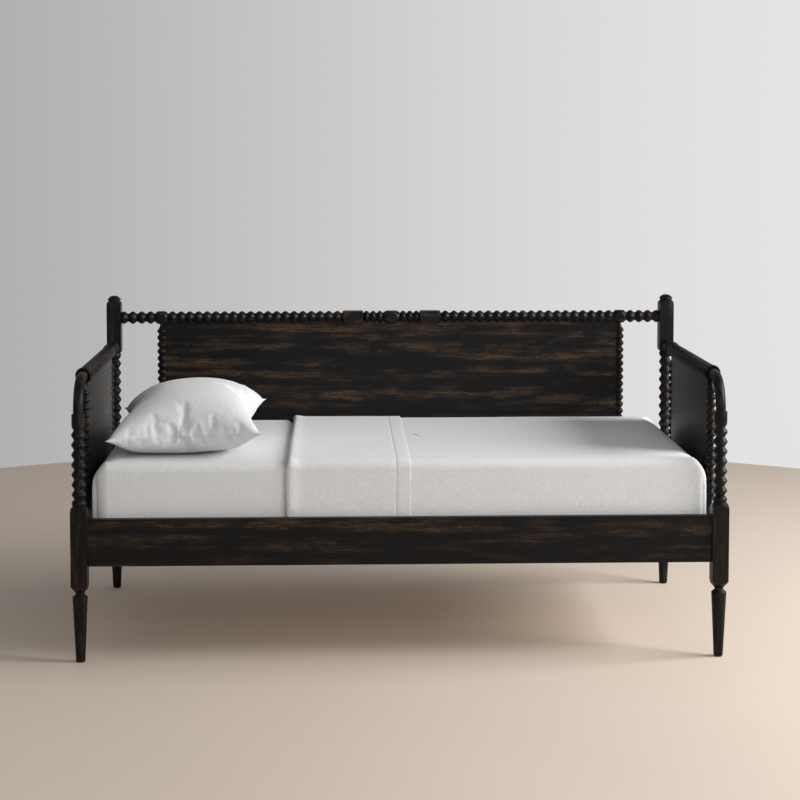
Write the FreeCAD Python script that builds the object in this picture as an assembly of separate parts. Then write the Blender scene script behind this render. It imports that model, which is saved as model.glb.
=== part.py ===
import FreeCAD, Part
import math
import os

# Twin daybed in turned (spool) wood: four posts, a spooled top rail over a plain back panel,
# two arms that bend down into the front posts, slats, mattress, sheets and one pillow.
# Millimetres, +Z up. X runs along the bed, Y from front (-) to back (+).
# The origin is on the floor, at the centre of the daybed.

V = FreeCAD.Vector
X_AXIS = V(1, 0, 0)
Y_AXIS = V(0, 1, 0)
Z_AXIS = V(0, 0, 1)

# ---- driving dimensions ----------------------------------------------------------------
post_x = 989.0              # post axes, left and right of the centre
post_y = 500.0              # post axes, front and back of the centre
post_square = 50.5          # square stock of the posts
glide_height = 3.0          # nylon glide under each foot
foot_radius = 14.4          # foot at the floor
foot_ring_radius = 23.5     # widest part of the tapered foot
foot_ring_z = 201.0
foot_neck_z = 215.0
block_bottom_z = 241.0      # lower square block of a post
block_top_z = 468.0
front_cup_top_z = 769.0     # turned cup on the front post that takes the arm
cup_radius = 20.5
back_block_bottom_z = 849.0  # upper square block of a back post
back_block_top_z = 1024.0
finial_base_z = 1034.5
overall_height = 1054.0

glide_radius = 12.0
glide_pin_radius = 2.5
glide_pin_top = 16.0

post_bead_radius = 22.2
post_neck_radius = 14.2
rail_bead_radius = 22.3
rail_neck_radius = 14.3
spindle_bead_radius = 16.5
spindle_neck_radius = 9.5
post_rounding = (5.5, 2.5)      # radii of a bead's crest and of the hollow beside it
rail_rounding = (10.0, 3.5)
thin_rounding = (8.0, 1.0)      # thin beads and spindle beads, which meet in a sharp notch
back_spindle_pitch = 24.6
back_bell_length = 37.5     # from the rail to the spindle's first neck
side_spindle_pitch = 23.6
side_bell_length = 43.9
spindle_bell_crest = 11.0   # from that neck to the bell's widest part
spindle_brow_run = 3.4       # where the bell's rounded crest meets its slopes
spindle_brow_radius = 15.3
spindle_end_radius = 6.0
spindle_foot_radius = 8.0
spindle_foot_length = 15.0
spindle_pin_length = 12.0

top_rail_z = 975.0          # axis of the spooled top rail
top_rail_square = 44.5
centre_barrel_radius = 27.5  # stations of the top rail are measured from its middle
centre_barrel_half = 29.7
long_block_start = 101.4
long_block_end = 178.0
short_block_start = 798.0
short_block_end = 844.7
short_block_radius = 26.5
end_bead_pitch = 31.5
board_thickness = 22.0      # side rails and end rails
board_bottom_z = 299.0
board_top_z = 445.5
panel_thickness = 18.0
tongue_thickness = 8.0
tongue_length = 8.0
side_tongue = 7.5           # tongue that runs into a spindle
back_spindle_x = 821.0
side_spindle_front_y = -345.0
side_spindle_back_y = 335.0

arm_z = 871.0               # axis of the arm rail
arm_radius = 23.3
arm_collar_radius = 26.2
arm_mouth_radius = 22.3     # collar's front rim, round the countersunk socket of the bent piece
arm_socket_depth = 6.0
arm_bend_radius = 16.4      # bent piece where it leaves the socket
arm_neck_radius = 20.2      # arm where it meets the back post
arm_front_y = -375.0        # front end of the arm rail, where the bend starts
arm_collar_length = 18.0
arm_back_collar_y = 346.0
bend_radius = 100.0         # centre line of the bent arm
bend_end_radius = 15.5      # arm where it drops into the cup
arm_tenon_radius = 9.0      # its round tenon in the cup
arm_tenon_length = 35.0
end_tenon_length = 19.0     # end rail's tenon in a post
end_tenon_half = 5.0
tenon_shoulder = 22.0

slat_count = 12
slat_width = 70.0
slat_thickness = 20.0
slat_top_z = 366.0
ledger_width = 25.0
ledger_height = 36.0
ledger_half_length = 935.0
strap_width = 25.0
strap_thickness = 1.0
strap_y = 330.0

mattress_half_x = 948.5
mattress_half_y = 479.0
bedding_y = -1.5            # middle of the bedding, which clears the back spindles by a little
mattress_top_z = 609.0
mattress_gap = 0.3          # air under the bedding, between it and the slats
sheet_thickness = 2.0       # fitted sheet
cover_top_thickness = 6.0   # one layer of the top sheet with the air in it
cover_side_thickness = 3.0
cover_fold_x = -346.0       # folded edge of the top sheet
cover_hem_x = 29.0          # free edge of its turned-back cuff
cover_tuck = 110.0          # how far the sheets go under the mattress
fitted_tuck = 90.0

pillow_x = -672.0
pillow_y = -100.0
pillow_half_x = 240.0
pillow_half_y = 325.0
pillow_height = 214.0
pillow_seam_height = 65.0
pillow_flat_x = 170.0       # part of the underside that lies on the sheet
pillow_flat_y = 250.0
pillow_gap = 0.4

bolt_radius = 4.0
bolt_head_radius = 7.5
bolt_head_length = 6.0
bolt_length = 105.0
bolt_heights = (335.0, 410.0)
barrel_nut_radius = 6.0
barrel_nut_length = 16.0
rail_dowel_radius = 5.0
rail_dowel_length = 50.0
arm_dowel_radius = 7.0
arm_dowel_length = 50.0
round_tenon_radius = 12.0
round_tenon_length = 22.0
screw_radius = 2.0
screw_head_radius = 4.0
screw_head_length = 2.5

bolt_seat_x = post_x + post_square / 2 - bolt_head_length - 1.0
bolt_tip_x = bolt_seat_x - bolt_length
barrel_nut_x = bolt_tip_x + barrel_nut_radius + 3.0
bolt_depth = post_x - post_square / 2 - bolt_tip_x + 2.0
half_post = post_square / 2
half_board = board_thickness / 2
half_panel = panel_thickness / 2
SIDES = (("left", -1), ("right", 1))
ENDS = (("front", -1), ("back", 1))

os.makedirs("parts", exist_ok=True)


def export(name, shape):
    """Write one sub-part as parts/NAME.step."""
    shape.exportStep(os.path.join("parts", name + ".step"))


def box(x0, x1, y0, y1, z0, z1):
    """A box between two corners."""
    return Part.makeBox(x1 - x0, y1 - y0, z1 - z0, V(x0, y0, z0))


def rod(radius, start, direction, length):
    """A plain cylinder from start along direction."""
    return Part.makeCylinder(radius, length, start, direction)


def placed(shape, origin, direction):
    """Move a piece turned about Z so that it starts at origin and runs along direction."""
    moved = shape.copy()
    moved.Placement = FreeCAD.Placement(origin, FreeCAD.Rotation(Z_AXIS, direction))
    return moved


def mirrored(shape):
    """The same piece on the other side of the bed."""
    return shape.mirror(V(0, 0, 0), X_AXIS)


class Turning:
    """The outline of a turned piece, drawn as radius against distance along the axis."""

    def __init__(self, radius, start):
        self.at = V(0, 0, start)
        self.edges = []
        self.line(radius, start)

    def line(self, radius, along):
        """A straight run to the next point."""
        end = V(radius, 0, along)
        if self.at.distanceToPoint(end) > 1e-6:
            self.edges.append(Part.LineSegment(self.at, end).toShape())
        self.at = end

    def arc(self, mid_radius, mid_along, radius, along):
        """An arc through a middle point to the next point."""
        end = V(radius, 0, along)
        self.edges.append(Part.Arc(self.at, V(mid_radius, 0, mid_along), end).toShape())
        self.at = end

    def beads(self, end, count, crest, neck, rounding):
        """Beads with rounded crests and hollows and straight slopes, from the neck here to one at end.

        rounding is the radius of a crest and the radius of a hollow."""
        crest_r, hollow_r = rounding
        half_pitch = (end - self.at.z) / count / 2
        both = crest_r + hollow_r
        excess = both - (crest - neck)
        slope = math.atan2(half_pitch, excess) - math.acos(both / math.hypot(half_pitch, excess))
        foot_r = neck + hollow_r * (1 - math.cos(slope))
        foot_run = hollow_r * math.sin(slope)
        rise_r = neck + hollow_r * (1 - math.cos(slope / 2))
        rise_run = hollow_r * math.sin(slope / 2)
        brow_r = crest - crest_r * (1 - math.cos(slope))
        brow_run = crest_r * math.sin(slope)
        for _ in range(count):
            start = self.at.z
            middle = start + half_pitch
            finish = middle + half_pitch
            self.arc(rise_r, start + rise_run, foot_r, start + foot_run)
            self.line(brow_r, middle - brow_run)
            self.arc(crest, middle, brow_r, middle + brow_run)
            self.line(foot_r, finish - foot_run)
            self.arc(rise_r, finish - rise_run, neck, finish)

    def solid(self):
        """Close the outline on the axis and turn it."""
        self.line(0, self.at.z)
        first = self.edges[0].Vertexes[0].Point
        closing = Part.LineSegment(self.at, V(0, 0, first.z)).toShape()
        face = Part.Face(Part.Wire(self.edges + [closing]))
        return face.revolve(V(0, 0, 0), Z_AXIS, 360)


def from_square(turning, square, start, end):
    """Turned work cut from square stock, whose blocks keep the stock's flat sides."""
    half = square / 2
    return turning.solid().common(box(-half, half, -half, half, start, end))


# ---- posts -----------------------------------------------------------------------------
past_corner = post_square * 0.73   # a turning radius just outside the square's corners


def start_post():
    """The tapered foot, ring, neck and lower block that all four posts share."""
    turning = Turning(foot_radius - 1.0, glide_height)
    turning.line(foot_radius, glide_height + 1.0)
    turning.line(foot_ring_radius, foot_ring_z)
    turning.arc(foot_ring_radius - 0.8, foot_ring_z + 3.0, foot_ring_radius - 3.5, foot_ring_z + 5.0)
    turning.line(post_neck_radius - 0.3, foot_neck_z - 3.0)
    turning.line(post_neck_radius - 0.3, foot_neck_z + 2.0)
    turning.arc(23.5, foot_neck_z + 13.0, past_corner, block_bottom_z)
    turning.line(past_corner, block_top_z)
    turning.line(19.5, block_top_z + 17.0)
    turning.arc(post_bead_radius, block_top_z + 23.5, post_neck_radius, block_top_z + 37.5)
    return turning


def front_post():
    """Lower block, seven beads and a turned cup for the end of the arm."""
    turning = start_post()
    cup_bottom = front_cup_top_z - 49.0
    turning.beads(cup_bottom, 7, post_bead_radius, post_neck_radius, post_rounding)
    turning.arc(cup_radius - 1.0, cup_bottom + 8.5, cup_radius, cup_bottom + 17.0)
    turning.line(cup_radius, front_cup_top_z - 0.8)
    turning.line(cup_radius - 0.8, front_cup_top_z)
    return from_square(turning, post_square, 0, overall_height)


def back_post():
    """Lower block, ten beads, an upper block for the rails and a domed finial."""
    turning = start_post()
    last_neck = back_block_bottom_z - 23.0
    turning.beads(last_neck, 10, post_bead_radius, post_neck_radius, post_rounding)
    turning.arc(19.8, last_neck + 6.5, post_bead_radius, last_neck + 14.0)
    turning.arc(21.6, last_neck + 19.0, 19.5, back_block_bottom_z)
    turning.line(past_corner, back_block_bottom_z + 11.0)
    turning.line(past_corner, back_block_top_z - 3.0)
    turning.line(21.5, finial_base_z - 1.0)
    turning.line(20.0, finial_base_z - 1.0)
    turning.line(20.0, finial_base_z + 1.2)
    turning.arc(23.2, finial_base_z + 4.5, 21.8, finial_base_z + 9.0)
    turning.arc(13.0, overall_height - 2.6, 0.0, overall_height)
    return from_square(turning, post_square, 0, overall_height)


def with_bed_rail_joints(post, end):
    """Cut the lower block for the side rail's bolts and dowel and the end rail's tenon.

    The post stands at its own origin with the side rail on its -X side, as at the bed's
    right-hand end; end is -1 for a front post and 1 for a back one."""
    for z in bolt_heights:
        post = post.cut(rod(bolt_radius, V(-half_post, 0, z), X_AXIS, post_square))
        seat = half_post - bolt_head_length - 1.0
        post = post.cut(rod(bolt_head_radius + 0.5, V(seat, 0, z), X_AXIS, bolt_head_length + 2.0))
    middle_z = sum(bolt_heights) / 2
    depth = rail_dowel_length / 2
    post = post.cut(rod(rail_dowel_radius, V(-half_post, 0, middle_z), X_AXIS, depth))
    inner = -end * half_post
    mortise = sorted((inner, inner + end * end_tenon_length))
    post = post.cut(box(-end_tenon_half, end_tenon_half, mortise[0], mortise[1],
                        board_bottom_z + tenon_shoulder, board_top_z - tenon_shoulder))
    return post.cut(rod(glide_pin_radius, V(0, 0, 0), Z_AXIS, glide_pin_top))


front_blank = with_bed_rail_joints(front_post(), -1)
front_blank = front_blank.cut(
    rod(arm_tenon_radius, V(0, 0, front_cup_top_z - arm_tenon_length), Z_AXIS, arm_tenon_length))
back_blank = with_bed_rail_joints(back_post(), 1)
back_blank = back_blank.cut(
    rod(round_tenon_radius, V(-half_post, 0, top_rail_z), X_AXIS, round_tenon_length))
back_blank = back_blank.cut(
    rod(round_tenon_radius, V(0, -half_post, arm_z), Y_AXIS, round_tenon_length))

for end_name, end, blank in (("front", -1, front_blank), ("back", 1, back_blank)):
    right = blank.copy()
    right.translate(V(post_x, end * post_y, 0))
    export(end_name + "_right_post", right)
    export(end_name + "_left_post", mirrored(right))

glides = []
for _, side in SIDES:
    for _, end in ENDS:
        at = V(side * post_x, end * post_y, 0)
        disc = rod(glide_radius, at, Z_AXIS, glide_height)
        glides.append(disc.fuse(rod(glide_pin_radius, at, Z_AXIS, glide_pin_top - 1.0)).removeSplitter())
export("foot_glides", Part.makeCompound(glides))


# ---- back: top rail, panel, spindles ----------------------------------------------------
def panel(half_width, bottom, top):
    """A flat panel in the XZ plane with tongues on its two sides and its lower edge."""
    tongue = tongue_thickness / 2
    body = box(-half_width, half_width, -half_panel, half_panel, bottom, top)
    sides = box(-half_width - side_tongue, half_width + side_tongue, -tongue, tongue, bottom, top)
    foot = box(-half_width, half_width, -tongue, tongue, bottom - tongue_length, bottom)
    return body.fuse([sides, foot]).removeSplitter()


def panel_spindle(top, bell_length, pitch):
    """A slim spooled spindle that covers a panel's edge, with a bell-shaped bead at each end."""
    first_neck = top - bell_length
    count = int((first_neck - board_top_z - bell_length) / pitch)
    last_neck = first_neck - count * pitch
    turning = Turning(spindle_foot_radius, board_top_z - spindle_foot_length)
    turning.line(spindle_foot_radius, board_top_z)
    turning.line(spindle_end_radius, board_top_z)
    turning.line(spindle_end_radius, board_top_z + 3.0)
    crest = last_neck - spindle_bell_crest
    turning.arc(9.0, (board_top_z + crest) / 2, spindle_brow_radius, crest - spindle_brow_run)
    turning.arc(spindle_bead_radius, crest, spindle_brow_radius, crest + spindle_brow_run)
    turning.line(spindle_neck_radius, last_neck)
    turning.beads(first_neck, count, spindle_bead_radius, spindle_neck_radius, thin_rounding)
    crest = first_neck + spindle_bell_crest
    turning.line(spindle_brow_radius, crest - spindle_brow_run)
    turning.arc(spindle_bead_radius, crest, spindle_brow_radius, crest + spindle_brow_run)
    turning.arc(9.0, (top + crest) / 2 - 1.0, spindle_end_radius, top - 3.0)
    turning.line(spindle_end_radius, top + spindle_pin_length)
    return turning.solid()

back_panel_top = top_rail_z - 12.5
back_panel = panel(back_spindle_x - spindle_neck_radius, board_top_z, back_panel_top)
back_panel.translate(V(0, post_y, 0))
export("back_panel", back_panel)

rail_underside = top_rail_z - top_rail_square / 2
back_spindle = panel_spindle(rail_underside, back_bell_length, back_spindle_pitch)
back_spindles = []
for side_name, side in SIDES:
    spindle = back_spindle.copy()
    spindle.translate(V(side * back_spindle_x, post_y, 0))
    back_spindles.append(spindle)
    export("back_" + side_name + "_spindle", spindle.cut(back_panel))


def half_top_rail():
    """The right half of the top rail, from the bed's centre to the post."""
    corner = top_rail_square * 0.72
    end = post_x - half_post
    turning = Turning(centre_barrel_radius, 0.0)
    turning.arc(24.6, 14.0, 16.0, centre_barrel_half)
    turning.line(rail_neck_radius, centre_barrel_half)
    turning.beads(long_block_start, 3, rail_bead_radius, rail_neck_radius, thin_rounding)
    turning.line(21.0, long_block_start)
    turning.line(corner, long_block_start + 6.0)
    turning.line(corner, long_block_end - 19.0)
    turning.arc(25.5, long_block_end - 8.0, rail_neck_radius, long_block_end)
    turning.beads(short_block_start, 20, rail_bead_radius, rail_neck_radius, rail_rounding)
    short_block_middle = (short_block_start + short_block_end) / 2
    turning.arc(21.5, short_block_start + 7.5, short_block_radius, short_block_middle)
    turning.arc(21.5, short_block_end - 7.5, rail_neck_radius, short_block_end)
    last_neck = short_block_end + 4 * end_bead_pitch
    turning.beads(last_neck, 4, rail_bead_radius, rail_neck_radius, rail_rounding)
    stock = box(-top_rail_square / 2, top_rail_square / 2, -top_rail_square / 2,
                top_rail_square / 2, 0, end)
    half = turning.solid().common(stock)
    tenon = rod(round_tenon_radius, V(0, 0, end - 8.0), Z_AXIS, round_tenon_length + 7.0)
    return half.fuse(tenon).removeSplitter()


rail_half = placed(half_top_rail(), V(0, post_y, top_rail_z), X_AXIS)
top_rail = rail_half.fuse(mirrored(rail_half)).removeSplitter()
top_rail = top_rail.cut(back_panel)
for spindle in back_spindles:
    top_rail = top_rail.cut(spindle)
export("back_top_rail", top_rail)


# ---- side rails, end rails, ledgers -----------------------------------------------------
def side_rail(end):
    """A long board between two posts, bored for its bolts, barrel nuts and dowels."""
    length = post_x - half_post
    rail = box(-length, length, -half_board, half_board, board_bottom_z, board_top_z)
    for _, side in SIDES:
        face = side * length
        inward = V(-side, 0, 0)
        for z in bolt_heights:
            rail = rail.cut(rod(bolt_radius, V(face, 0, z), inward, bolt_depth))
            nut_x = side * barrel_nut_x
            rail = rail.cut(rod(barrel_nut_radius, V(nut_x, -end * half_board, z),
                                V(0, end, 0), barrel_nut_length))
        middle_z = sum(bolt_heights) / 2
        rail = rail.cut(rod(rail_dowel_radius, V(face, 0, middle_z), inward, rail_dowel_length / 2))
    rail.translate(V(0, end * post_y, 0))
    return rail


front_rail = side_rail(-1)
back_rail = side_rail(1)
for spindle in back_spindles:
    back_rail = back_rail.cut(spindle)
back_rail = back_rail.cut(back_panel)

ledger_top_z = slat_top_z - slat_thickness
slat_span = ledger_half_length - 20.0 - slat_width / 2
ledger_screws = []
slat_screws = []
for end_name, end in ENDS:
    inner_face = end * (post_y - half_board)
    near = inner_face - end * ledger_width
    ledger = box(-ledger_half_length, ledger_half_length, min(inner_face, near),
                 max(inner_face, near), ledger_top_z - ledger_height, ledger_top_z)
    rail = front_rail if end < 0 else back_rail
    for i in range(6):
        x = (i - 2.5) * 340.0
        start = V(x, near, ledger_top_z - ledger_height / 2)
        shank = rod(screw_radius, start, V(0, end, 0), ledger_width + 14.0)
        head = Part.makeCone(screw_head_radius, screw_radius, screw_head_length, start, V(0, end, 0))
        screw = shank.fuse(head).removeSplitter()
        ledger = ledger.cut(screw)
        rail = rail.cut(screw)
        ledger_screws.append(screw)
    for _, side in SIDES:
        top = V(side * slat_span, (inner_face + near) / 2, slat_top_z)
        shank = rod(screw_radius, top, V(0, 0, -1), slat_thickness + 16.0)
        head = Part.makeCone(screw_head_radius, screw_radius, screw_head_length, top, V(0, 0, -1))
        screw = shank.fuse(head).removeSplitter()
        ledger = ledger.cut(screw)
        slat_screws.append(screw)
    export(end_name + "_slat_ledger", ledger)
    export("front_side_rail" if end < 0 else "back_lower_rail", rail)
export("ledger_screws", Part.makeCompound(ledger_screws))
export("slat_screws", Part.makeCompound(slat_screws))


# ---- arms and end panels ----------------------------------------------------------------
def arm_rail():
    """The turned arm, running back from its front end to the back post."""
    length = post_y - half_post - arm_front_y
    back_collar = arm_back_collar_y - arm_front_y
    turning = Turning(arm_mouth_radius, 0.0)
    turning.arc(arm_collar_radius - 0.8, 8.0, arm_collar_radius - 0.3, arm_collar_length)
    turning.line(arm_radius, arm_collar_length + 1.0)
    turning.line(arm_radius, back_collar)
    turning.line(arm_collar_radius - 1.2, back_collar + 1.0)
    turning.arc(arm_collar_radius, back_collar + arm_collar_length / 2,
                arm_collar_radius - 2.2, back_collar + arm_collar_length)
    turning.line(arm_neck_radius, back_collar + arm_collar_length + 2.0)
    turning.line(arm_neck_radius, length)
    turning.line(round_tenon_radius, length)
    turning.line(round_tenon_radius, length + round_tenon_length - 1.0)
    rail = turning.solid()
    rail = rail.cut(Part.makeCone(arm_mouth_radius - 0.4, arm_bend_radius + 0.2, arm_socket_depth))
    return rail.cut(rod(arm_dowel_radius, V(0, 0, 0), Z_AXIS, arm_dowel_length / 2 + arm_socket_depth))


def arm_bend():
    """The tapered quarter bend from the arm rail's socket down into the cup of the front post."""
    start = V(0, arm_front_y + arm_socket_depth, arm_z)
    corner = V(0, bend_radius - post_y, arm_z)
    centre = V(0, corner.y, arm_z - bend_radius)
    diagonal = bend_radius * math.sqrt(0.5)
    middle = V(0, centre.y - diagonal, centre.z + diagonal)
    foot = V(0, -post_y, centre.z)
    end = V(0, -post_y, front_cup_top_z)
    path = Part.Wire([Part.LineSegment(start, corner).toShape(),
                      Part.Arc(corner, middle, foot).toShape(),
                      Part.LineSegment(foot, end).toShape()])
    first = Part.Wire(Part.makeCircle(arm_bend_radius, start, Y_AXIS))
    last = Part.Wire(Part.makeCircle(bend_end_radius, end, Z_AXIS))
    pipe = Part.BRepOffsetAPI.MakePipeShell(path)
    pipe.add(first)
    pipe.add(last)
    pipe.build()
    pipe.makeSolid()
    tenon_start = V(0, -post_y, front_cup_top_z - arm_tenon_length + 1.0)
    tenon = rod(arm_tenon_radius, tenon_start, Z_AXIS, arm_tenon_length + 6.0)
    bend = pipe.shape().fuse(tenon).removeSplitter()
    hole = rod(arm_dowel_radius, start, V(0, -1, 0), arm_dowel_length / 2)
    return bend.cut(hole)


def across(shape, x):
    """Turn a piece made in the XZ plane to lie along the bed's end at x."""
    turned = shape.copy()
    turned.rotate(V(0, 0, 0), Z_AXIS, 90)
    turned.translate(V(x, 0, 0))
    return turned


side_panel_top = arm_z - 17.0
side_middle_y = (side_spindle_front_y + side_spindle_back_y) / 2
side_half_width = (side_spindle_back_y - side_spindle_front_y) / 2 - spindle_neck_radius
side_panel = across(panel(side_half_width, board_top_z, side_panel_top), 0)
side_panel.translate(V(0, side_middle_y, 0))
side_spindle = panel_spindle(arm_z - arm_radius, side_bell_length, side_spindle_pitch)
arm_blank = placed(arm_rail(), V(0, arm_front_y, arm_z), Y_AXIS)
bend_blank = arm_bend()

end_rail_length = post_y - half_post
end_rail_blank = box(-half_board, half_board, -end_rail_length, end_rail_length,
                     board_bottom_z, board_top_z)
end_rail_blank = end_rail_blank.fuse(
    box(-end_tenon_half, end_tenon_half, -end_rail_length - end_tenon_length + 1.0,
        end_rail_length + end_tenon_length - 1.0,
        board_bottom_z + tenon_shoulder, board_top_z - tenon_shoulder)).removeSplitter()

side_spindle_places = (("front", side_spindle_front_y), ("back", side_spindle_back_y))
arm_dowels = []
for side_name, side in SIDES:
    x = side * post_x
    panel_here = side_panel.copy()
    panel_here.translate(V(x, 0, 0))
    export(side_name + "_side_panel", panel_here)
    arm = arm_blank.copy()
    arm.translate(V(x, 0, 0))
    end_rail = end_rail_blank.copy()
    end_rail.translate(V(x, 0, 0))
    for place, y in side_spindle_places:
        spindle = side_spindle.copy()
        spindle.translate(V(x, y, 0))
        arm = arm.cut(spindle)
        end_rail = end_rail.cut(spindle)
        export(side_name + "_" + place + "_spindle", spindle.cut(panel_here))
    export(side_name + "_arm_rail", arm.cut(panel_here))
    export(side_name + "_end_rail", end_rail.cut(panel_here))
    bend = bend_blank.copy()
    bend.translate(V(x, 0, 0))
    export(side_name + "_arm_bend", bend)
    dowel_start = V(x, arm_front_y + arm_socket_depth - arm_dowel_length / 2, arm_z)
    arm_dowels.append(rod(arm_dowel_radius, dowel_start, Y_AXIS, arm_dowel_length))
export("arm_dowels", Part.makeCompound(arm_dowels))

# ---- bolts, barrel nuts and dowels of the side rails ------------------------------------
bolts = []
nuts = []
dowels = []
for _, side in SIDES:
    inward = V(-side, 0, 0)
    for _, end in ENDS:
        y = end * post_y
        for z in bolt_heights:
            nut = rod(barrel_nut_radius, V(side * barrel_nut_x, y - end * half_board, z),
                      V(0, end, 0), barrel_nut_length)
            seat = V(side * bolt_seat_x, y, z)
            shank = rod(bolt_radius, seat, inward, bolt_length)
            head = rod(bolt_head_radius, seat, V(side, 0, 0), bolt_head_length)
            bolts.append(shank.fuse(head).removeSplitter())
            nuts.append(nut.cut(shank))
        start = V(side * (post_x - half_post + rail_dowel_length / 2), y, sum(bolt_heights) / 2)
        dowels.append(rod(rail_dowel_radius, start, inward, rail_dowel_length))
export("rail_bolts", Part.makeCompound(bolts))
export("barrel_nuts", Part.makeCompound(nuts))
export("rail_dowels", Part.makeCompound(dowels))

# ---- slats ------------------------------------------------------------------------------
slat_half_length = post_y - half_board - 2.0
for i in range(slat_count):
    x = -slat_span + i * 2 * slat_span / (slat_count - 1)
    slat = box(x - slat_width / 2, x + slat_width / 2, -slat_half_length, slat_half_length,
               ledger_top_z, slat_top_z)
    upright = [e for e in slat.Edges if abs(e.Vertexes[0].X - e.Vertexes[1].X) < 1e-6]
    long_edges = [e for e in upright if abs(e.Vertexes[0].Z - e.Vertexes[1].Z) < 1e-6]
    slat = slat.makeFillet(2.5, long_edges)
    if i in (0, slat_count - 1):
        for screw in slat_screws:
            slat = slat.cut(screw)
    export("slat_%02d" % (i + 1), slat)

strap_half = slat_span + slat_width / 2
straps = [box(-strap_half, strap_half, end * strap_y - strap_width / 2,
              end * strap_y + strap_width / 2, ledger_top_z - strap_thickness, ledger_top_z)
          for _, end in ENDS]
export("slat_straps", Part.makeCompound(straps))


# ---- bedding ----------------------------------------------------------------------------
def rounded_slab(x0, x1, half_y, z0, z1, corner, edge):
    """A soft slab with rounded corners in plan and softly rounded edges."""
    slab = box(x0, x1, -half_y, half_y, z0, z1)
    upright = [e for e in slab.Edges if abs(e.Vertexes[0].Z - e.Vertexes[1].Z) > 1.0]
    slab = slab.makeFillet(corner, upright)
    level = [e for f in slab.Faces if abs(f.normalAt(0, 0).z) > 0.9 for e in f.Edges]
    return slab.makeFillet(edge, level)


def export_bedding(name, shape):
    """Write a piece made about the bed's centre line, moved to where the bedding lies."""
    moved = shape.copy()
    moved.translate(V(0, bedding_y, 0))
    export(name, moved)


mattress_bottom_z = slat_top_z + mattress_gap + 2 * sheet_thickness
mattress = rounded_slab(-mattress_half_x, mattress_half_x, mattress_half_y,
                        mattress_bottom_z, mattress_top_z, 45.0, 28.0)
export_bedding("mattress", mattress)

fitted_half_x = mattress_half_x + sheet_thickness
fitted_half_y = mattress_half_y + sheet_thickness
fitted_bottom = mattress_bottom_z - sheet_thickness
fitted_top = mattress_top_z + sheet_thickness
fitted = rounded_slab(-fitted_half_x, fitted_half_x, fitted_half_y, fitted_bottom,
                      fitted_top, 47.0, 30.0)
under_x = mattress_half_x - fitted_tuck
under_y = mattress_half_y - fitted_tuck
fitted_sheet = fitted.cut(mattress).cut(
    box(-under_x, under_x, -under_y, under_y, 0, mattress_bottom_z + 1.0))
export_bedding("fitted_sheet", fitted_sheet)

cover_half_y = fitted_half_y + cover_side_thickness
cover_bottom = fitted_bottom - sheet_thickness
cover_top = fitted_top + cover_top_thickness
cover = rounded_slab(-fitted_half_x - cover_side_thickness, fitted_half_x + cover_side_thickness,
                     cover_half_y, cover_bottom, cover_top, 49.0, 32.0)
cuff_side = cover_side_thickness - 0.2
cuff = rounded_slab(-fitted_half_x - 10.0, fitted_half_x + 10.0, cover_half_y + cuff_side,
                    cover_bottom, cover_top + cover_top_thickness, 51.0, 34.0)
whole_bed = 2000.0
right_of_fold = box(cover_fold_x, whole_bed, -whole_bed, whole_bed, 0, whole_bed)
cuff_range = box(cover_fold_x, cover_hem_x, -whole_bed, whole_bed,
                 cover_bottom + sheet_thickness, whole_bed)
cover_under_y = mattress_half_y - cover_tuck
cover_under_x = mattress_half_x - cover_tuck
opening = box(-whole_bed, cover_under_x, -cover_under_y, cover_under_y, 0, mattress_bottom_z + 1.0)
top_sheet = cover.common(right_of_fold).fuse(cuff.common(cuff_range)).removeSplitter()
top_sheet = top_sheet.cut(fitted).cut(opening)
export_bedding("top_sheet", top_sheet)


def pillow_profile(half_width, flat):
    """Side view of the pillow: flat underneath, crowned on top, with a seam round its edge."""
    left_seam = V(-half_width, 0, pillow_seam_height)
    right_seam = V(half_width, 0, pillow_seam_height)
    left_foot = V(-flat, 0, 0)
    right_foot = V(flat, 0, 0)
    edges = [Part.Arc(left_seam, V(0, 0, pillow_height), right_seam).toShape(),
             Part.LineSegment(right_seam, right_foot).toShape(),
             Part.LineSegment(right_foot, left_foot).toShape(),
             Part.LineSegment(left_foot, left_seam).toShape()]
    return Part.Face(Part.Wire(edges))


long_run = 1000.0
across_x = pillow_profile(pillow_half_x, pillow_flat_x)
across_x.translate(V(0, -long_run / 2, 0))
along_y = pillow_profile(pillow_half_y, pillow_flat_y)
along_y.rotate(V(0, 0, 0), Z_AXIS, 90)
along_y.translate(V(-long_run / 2, 0, 0))
pillow = across_x.extrude(V(0, long_run, 0)).common(along_y.extrude(V(long_run, 0, 0)))
pillow.translate(V(pillow_x, pillow_y, fitted_top + pillow_gap))
export("pillow", pillow)
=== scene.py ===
import math

import bpy
import numpy as np
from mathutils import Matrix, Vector, noise


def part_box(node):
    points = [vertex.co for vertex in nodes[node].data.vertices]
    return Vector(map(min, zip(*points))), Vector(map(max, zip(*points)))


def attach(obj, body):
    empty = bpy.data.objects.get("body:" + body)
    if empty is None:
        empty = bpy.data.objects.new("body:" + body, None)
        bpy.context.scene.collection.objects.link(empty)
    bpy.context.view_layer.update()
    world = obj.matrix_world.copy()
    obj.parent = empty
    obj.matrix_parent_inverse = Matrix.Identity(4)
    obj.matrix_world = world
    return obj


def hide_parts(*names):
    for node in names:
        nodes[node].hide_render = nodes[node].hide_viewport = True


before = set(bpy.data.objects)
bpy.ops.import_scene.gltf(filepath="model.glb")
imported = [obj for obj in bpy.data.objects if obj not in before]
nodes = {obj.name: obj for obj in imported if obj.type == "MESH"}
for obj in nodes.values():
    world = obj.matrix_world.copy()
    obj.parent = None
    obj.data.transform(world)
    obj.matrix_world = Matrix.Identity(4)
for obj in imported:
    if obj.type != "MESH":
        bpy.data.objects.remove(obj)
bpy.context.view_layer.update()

# The daybed's looks. Metres, in the CAD's own frame: X along the bed, Y from front to back, Z up.

MM = 0.001


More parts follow.
